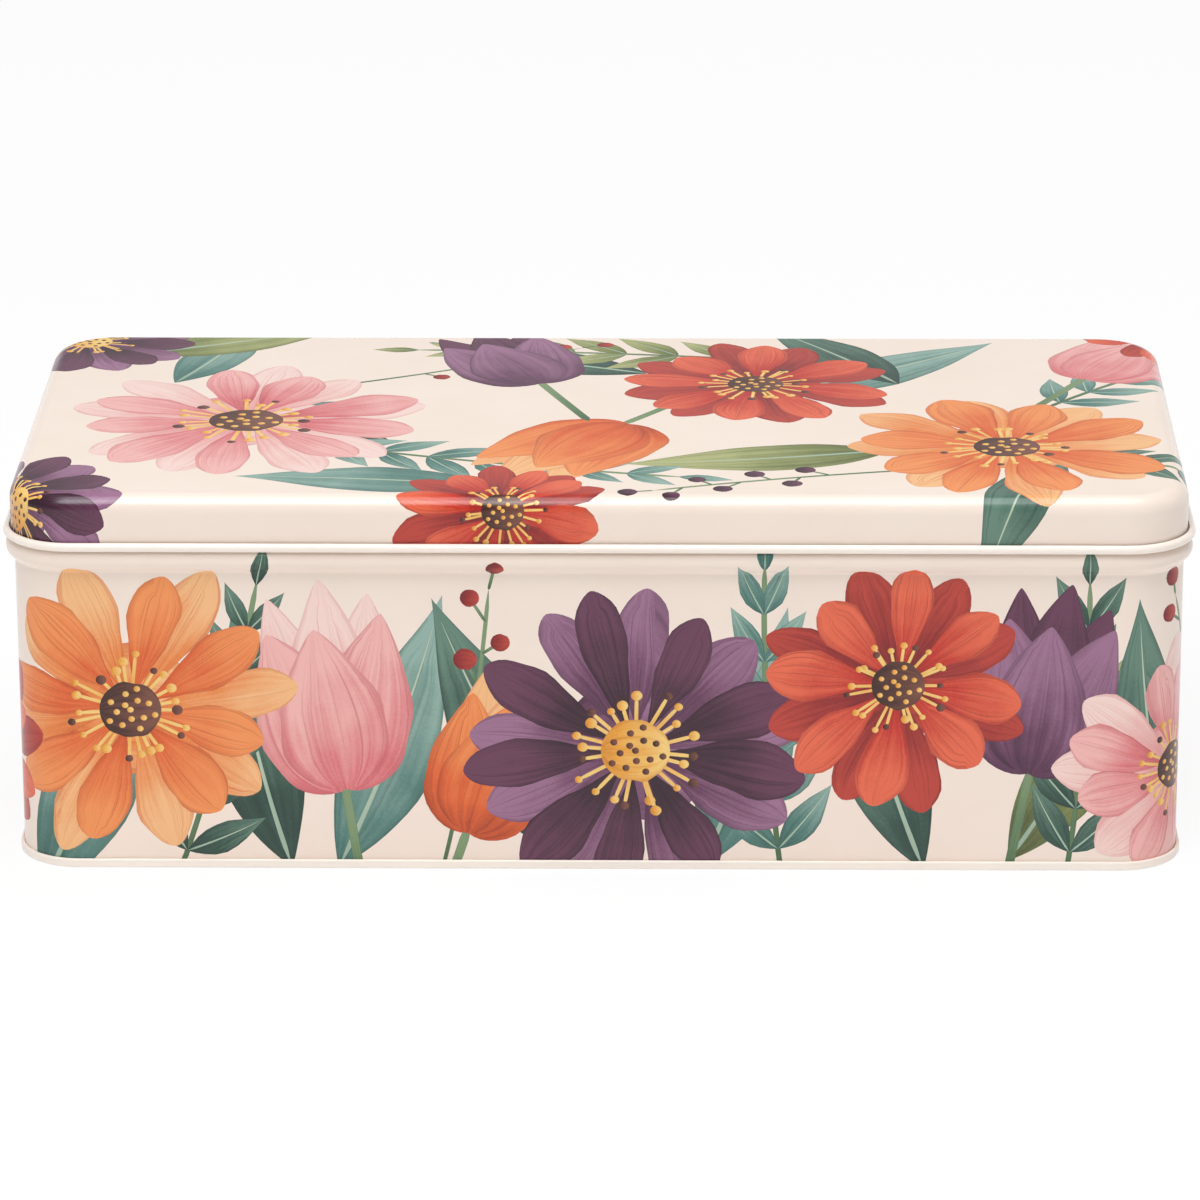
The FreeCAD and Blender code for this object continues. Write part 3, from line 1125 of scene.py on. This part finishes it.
    def lock(self, sheet: SheetMesh) -> None:
        """Add the folded layers of the side seam inside the back wall, a hair off it and the strip's end."""
        tin = self.tin
        *bends, neck = self.wall_bends()[1:]
        bends = (*bends, Bend(Turn.RUN, neck.size - tin.rim_roll))
        behind_at, front_at = tin.sheet + self.hair, tin.sheet * (1 + self.lock_layers)
        layers = Section((0, self.lock_low), 90, bends, behind_at, front_at)
        front = np.vstack(layers.far_face())
        behind = np.vstack(layers.near_face())
        end = tin.plan.length()
        marks = np.array([end - self.lock_width, end - self.hair / 2])
        outline = np.vstack([front[::-1], behind, front[-1:]])
        sheet.sweep(tin.plan, outline, marks, "tin", BakeBox(0.006, 0.996, 0.4, 0.003))
        for mark, left in ((marks[0], 0.42), (marks[1], 0.7)):
            edge = BakeBox(left, 0.996, 0.27, 0.003)
            sides = []
            for rows in (front, behind):
                xy, out = tin.plan.place(np.full(len(rows), mark), rows[:, 0])
                sides.append([sheet.corner((*p, z), (*o, 0)) for p, o, z in zip(xy, out, rows[:, 1])])
            a, b = sides if mark == marks[1] else sides[::-1]
            share = np.linspace(0, 1, len(front))
            for i in range(len(front) - 1):
                spots = np.array([(share[i], 0), (share[i + 1], 0), (share[i + 1], 1), (share[i], 1)])
                sheet.face([a[i], a[i + 1], b[i + 1], b[i]], "tin", np.zeros((4, 3)), edge.place(spots))


@dataclass
class Base:
    """The recessed base, stepped for stiffness and seamed round the wall's foot."""

    tin: Tin
    foot_bend: float = 0.5
    recess: float = 3.0
    bend: float = 0.8
    margin: float = 4.0
    step: float = 0.8
    step_bend: float = 1.2

    def build(self, finishes: dict[str, Material]) -> Piece:
        """Build and dress the base.

        Args:
            finishes: Materials by finish name.

        Returns:
            The base.
        """
        tin, sheet = self.tin, SheetMesh()
        both = 2 * self.step_bend + tin.sheet
        turn = math.degrees(math.acos(1 - self.step / both))
        chuck = 2 * tin.sheet + tin.seam_lay
        seam_out = tin.hook_slot + 2 * tin.sheet + tin.seam_lay
        inset = chuck + self.bend + self.margin + both * math.sin(math.radians(turn))
        section = Section((-inset, self.recess + self.step), 0, (
            Bend(Turn.RIGHT, self.step_bend, turn),
            Bend(Turn.LEFT, self.step_bend + tin.sheet, turn),
            Bend(Turn.RUN, self.margin),
            Bend(Turn.RIGHT, self.bend, 90),
            Bend(Turn.RUN, self.recess - self.bend - self.foot_bend),
            Bend(Turn.LEFT, self.foot_bend, 90),
            Bend(Turn.RUN, seam_out + chuck - 2 * self.foot_bend),
            Bend(Turn.LEFT, self.foot_bend, 90),
            Bend(Turn.RUN, tin.fold_level - self.foot_bend),
            Bend(Turn.LEFT, tin.fold, 180),
            Bend(Turn.RUN, tin.fold_level - tin.bend_level - tin.seam_lay),
        ), 0.0, tin.sheet)
        under, over = np.vstack(section.near_face()), np.vstack(section.far_face())[::-1]
        for rows, finish, bake in (
            (under, "ivory", BakeBox(0.005, 0.01, 0.99, 0.2)),
            (over, "tin", BakeBox(0.005, 0.22, 0.99, 0.1)),
            (np.array([under[-1], over[0]]), "tin", BakeBox(0.005, 0.325, 0.99, 0.004)),
        ):
            sheet.sweep(tin.plan, rows, tin.marks, finish, bake)
        sheet.panel(tin.plan, under[0], tin.marks, "ivory", BakeBox(0.005, 0.335, 0.6, 0.29))
        sheet.panel(tin.plan, over[-1], tin.marks, "tin", BakeBox(0.005, 0.64, 0.6, 0.29))
        return sheet.make("base_panel_enamelled", finishes)


@dataclass
class Lid:
    """The slip lid: printed panel, rounded edge, skirt and rolled curl, bright tin inside."""

    tin: Tin
    depth: float = 11.9
    edge: float = 3.6
    curl: float = 0.95
    skirt_gap: float = 0.45

    def design(self) -> list[Stroke]:
        """Paint the blank: blooms and leaves strewn over the panel and down the skirt, back to front."""
        art = Bouquet(21)
        for x, y, aim, length, ink, bend in (
            (-46, -20, 152, 62, "bottle_green", 0.12), (-46, 8, 208, 58, "sage", -0.1),
            (36, 14, 32, 66, "sage", 0.1), (64, -26, 196, 60, "olive", -0.1),
            (66, 22, 118, 54, "bottle_green", 0.1), (-96, 22, 66, 50, "sage", 0.1),
            (100, -34, -118, 50, "bottle_green", 0.1), (10, 30, 160, 56, "bottle_green", -0.1),
            (-108, 44, 20, 56, "olive", 0.1), (-22, -52, 168, 56, "sage", 0.1),
        ):
            art.leaf((x, y), aim, length, ink, bend)
        for x, y, aim, length, ink, bow in (
            (-70, -20, -22, 92, "sage", 0.1), (40, 40, 170, 84, "olive", 0.08),
            (74, -16, -28, 78, "bottle_green", 0.1), (96, 2, 52, 60, "sage", -0.1),
        ):
            art.sprig(x, y, aim, length, ink, bow)
        art.berries(-60, 20, 24, 62, "crimson")
        art.berries(70, -40, 190, 60, "plum")
        art.tulip(6, -8, 46, 236, Hue.ORANGE, 34)
        art.tulip(-14, 22, 42, 112, Hue.LILAC, 30)
        art.tulip(108, 26, 40, 60, Hue.PINK, 34)
        for x, y, size, hue, petals, spin in (
            (-78, -6, 86, Hue.PINK, 9, 8), (34, 22, 66, Hue.RED, 8, 14), (88, -24, 76, Hue.ORANGE, 8, 4),
            (-126, -56, 54, Hue.PURPLE, 8, 0), (-20, -62, 48, Hue.RED, 8, 10),
            (-118, 54, 54, Hue.PURPLE, 8, 12), (132, 62, 50, Hue.RED, 8, 2),
        ):
            art.daisy(x, y, size, hue, petals, spin)
        return art.strokes

    def build(self, finishes: dict[str, Material]) -> Piece:
        """Build and dress the lid.

        Args:
            finishes: Materials by finish name.

        Returns:
            The lid.
        """
        tin, sheet = self.tin, SheetMesh()
        inner_edge = self.edge - tin.sheet
        curl_level = tin.lid_top - self.depth + self.curl
        section = Section((self.skirt_gap - inner_edge, tin.lid_top - tin.sheet), 0, (
            Bend(Turn.RIGHT, inner_edge, 90),
            Bend(Turn.RUN, tin.lid_top - self.edge - curl_level),
            Bend(Turn.LEFT, self.curl, tin.roll_turn),
        ), 0.0, tin.sheet)
        near, far = section.near_face(), section.far_face()
        LidBlank(tin.plan, np.vstack(far[:2]), tin.marks).print_on(sheet, self.design(), "cream")
        lining = np.vstack(near[:2])
        curl = np.vstack([near[1][-1:], near[2]])
        hollow = np.vstack([far[1][-1:], far[2]])[::-1]
        for rows, finish, bake in (
            (hollow, "ivory", BakeBox(0.005, 0.56, 0.99, 0.02)),
            (lining, "tin", BakeBox(0.005, 0.59, 0.99, 0.06)),
            (curl, "ivory", BakeBox(0.005, 0.655, 0.99, 0.04)),
            (np.array([curl[-1], hollow[0]]), "tin", BakeBox(0.005, 0.7, 0.99, 0.004)),
        ):
            sheet.sweep(tin.plan, rows, tin.marks, finish, bake)
        sheet.panel(tin.plan, lining[0], tin.marks, "tin", BakeBox(0.005, 0.71, 0.6, 0.28))
        return sheet.make("lid_printed", finishes)


@dataclass(frozen=True)
class Lamp:
    """A soft square lamp that shines on the tin; its place and size are in metres, its power in watts."""

    name: str
    place: tuple[float, float, float]
    size: float
    power: float

    def hang(self, aim: Vector) -> None:
        """Hang the lamp so that it shines towards the aim."""
        light = bpy.data.lights.new(self.name, "AREA")
        light.size = self.size
        light.energy = self.power
        holder = bpy.data.objects.new(self.name, light)
        bpy.context.scene.collection.objects.link(holder)
        holder.location = self.place
        holder.rotation_euler = (aim - holder.location).to_track_quat("-Z", "Y").to_euler()


@dataclass(frozen=True)
class Studio:
    """A white table and backdrop, soft light from above and the front, and the photograph's viewpoint."""

    eye_mm: tuple[float, float, float] = (21.86, -1290.96, 485.99)
    yaw: float = -0.994
    pitch: float = 19.04
    roll: float = -0.171
    focal_px: float = 6136.0
    frame_px: float = 1200.0
    film_mm: float = 36.0
    floor_half: float = 6.0
    floor_white: float = 0.88
    fill: float = 0.34
    lamps: tuple[Lamp, ...] = (
        Lamp("overhead", (0.1, -0.15, 1.5), 1.0, 11.2),
        Lamp("front", (-0.3, -0.85, 1.6), 0.8, 12.3),
    )
    lit_height: float = 0.05

    def camera(self) -> None:
        """Set up the camera."""
        data = bpy.data.cameras.new("camera")
        data.sensor_fit = "HORIZONTAL"
        data.sensor_width = self.film_mm
        data.lens = self.focal_px / self.frame_px * self.film_mm
        data.clip_end = 50.0
        camera = bpy.data.objects.new("camera", data)
        bpy.context.scene.collection.objects.link(camera)
        yaw, pitch, roll = (math.radians(a) for a in (self.yaw, self.pitch, self.roll))
        ahead = Vector((math.sin(yaw) * math.cos(pitch), math.cos(yaw) * math.cos(pitch), -math.sin(pitch)))
        right = Vector((math.cos(yaw), -math.sin(yaw), 0.0))
        up = right.cross(ahead)
        across = right * math.cos(roll) + up * math.sin(roll)
        upward = up * math.cos(roll) - right * math.sin(roll)
        turn = Matrix((across, upward, -ahead)).transposed().to_4x4()
        camera.matrix_world = Matrix.Translation(Vector(self.eye_mm) * MM) @ turn
        bpy.context.scene.camera = camera

    def seen(self, tree: Tree, mirrored: Socket | float) -> Socket:
        """Tell rays that see a thing itself from rays that only gather its light.

        Args:
            tree: Node tree that takes the nodes.
            mirrored: How far it counts as seen in a mirror.

        Returns:
            One for the camera's rays and those through glass, and the mirrored share for glossy rays.
        """
        path = add(tree, "LightPath")
        glossy = {0: path.outputs["Is Glossy Ray"], 1: mirrored}
        seen = add(tree, "Math", {"operation": "MULTIPLY"}, glossy).outputs[0]
        for ray in ("Is Camera Ray", "Is Transmission Ray"):
            seen = add(tree, "Math", {"operation": "MAXIMUM"}, {0: seen, 1: path.outputs[ray]}).outputs[0]
        return seen

    def floor(self) -> None:
        """Lay the pale table top, which keeps the tin's shadow."""
        half = self.floor_half
        corners = [(-half, -half, 0), (half, -half, 0), (half, half, 0), (-half, half, 0)]
        mesh = bpy.data.meshes.new("floor")
        mesh.from_pydata(corners, [], [(0, 1, 2, 3)])
        floor = bpy.data.objects.new("floor", mesh)
        bpy.context.scene.collection.objects.link(floor)
        material, tree, shader = new_material("white_table_laminate")
        shader.inputs["Base Color"].default_value = linear("#ffffff")
        shader.inputs["Roughness"].default_value = 0.7
        amount = add(tree, "Math", {"operation": "MULTIPLY"}, {0: self.seen(tree, 1.0), 1: self.floor_white})
        white = add(tree, "Emission", {}, {"Color": (1, 1, 1, 1), "Strength": 1.0})
        mixed = add(tree, "MixShader", {}, {0: amount.outputs[0], 1: shader.outputs[0], 2: white.outputs[0]})
        tree.links.new(mixed.outputs[0], tree.nodes["Material Output"].inputs["Surface"])
        mesh.materials.append(material)

    def light(self) -> None:
        """Hang soft lamps and fill the room with even light."""
        world = bpy.data.worlds.new("studio")
        bpy.context.scene.world = world
        world.use_nodes = True
        tree = world.node_tree
        fill = add(tree, "Background", {}, {"Color": (1, 1, 1, 1), "Strength": self.fill})
        white = add(tree, "Background", {}, {"Color": (1, 1, 1, 1), "Strength": 1.0})
        # The white backdrop ends about six degrees up; above it varnish and metal mirror the dimmer room.
        upward = add(tree, "SeparateXYZ", {}, {0: add(tree, "TexCoord").outputs["Generated"]})
        backdrop = add(tree, "MapRange", {"clamp": True}, {
            "Value": upward.outputs["Z"], "From Min": 0.05, "From Max": 0.15, "To Min": 1.0, "To Max": 0.1})
        seen = self.seen(tree, backdrop.outputs[0])
        mixed = add(tree, "MixShader", {}, {0: seen, 1: fill.outputs[0], 2: white.outputs[0]})
        tree.links.new(mixed.outputs[0], tree.nodes["World Output"].inputs["Surface"])
        for lamp in self.lamps:
            lamp.hang(Vector((0, 0, self.lit_height)))

    def set_up(self) -> None:
        """Set up camera, floor and lights."""
        self.camera()
        self.floor()
        self.light()
        bpy.context.scene.view_settings.view_transform = "Standard"


def main() -> None:
    """Build the studio and the tin's pieces in order."""
    logging.basicConfig(level=logging.INFO)
    Studio().set_up()
    finishes = Palette().finishes
    tin = Tin()
    for maker, node, body, slot in (
        (Body(tin), "body_wall", "tin", "printed_wall"),
        (Base(tin), "base_panel", "tin", "enamelled_base"),
        (Lid(tin), "lid", "lid", "printed_lid"),
    ):
        piece = maker.build(finishes)
        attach(piece, body)
        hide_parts(node)
        LOG.info("%s: %d faces", piece.name, len(piece.data.polygons))


if __name__ == "__main__":
    main()
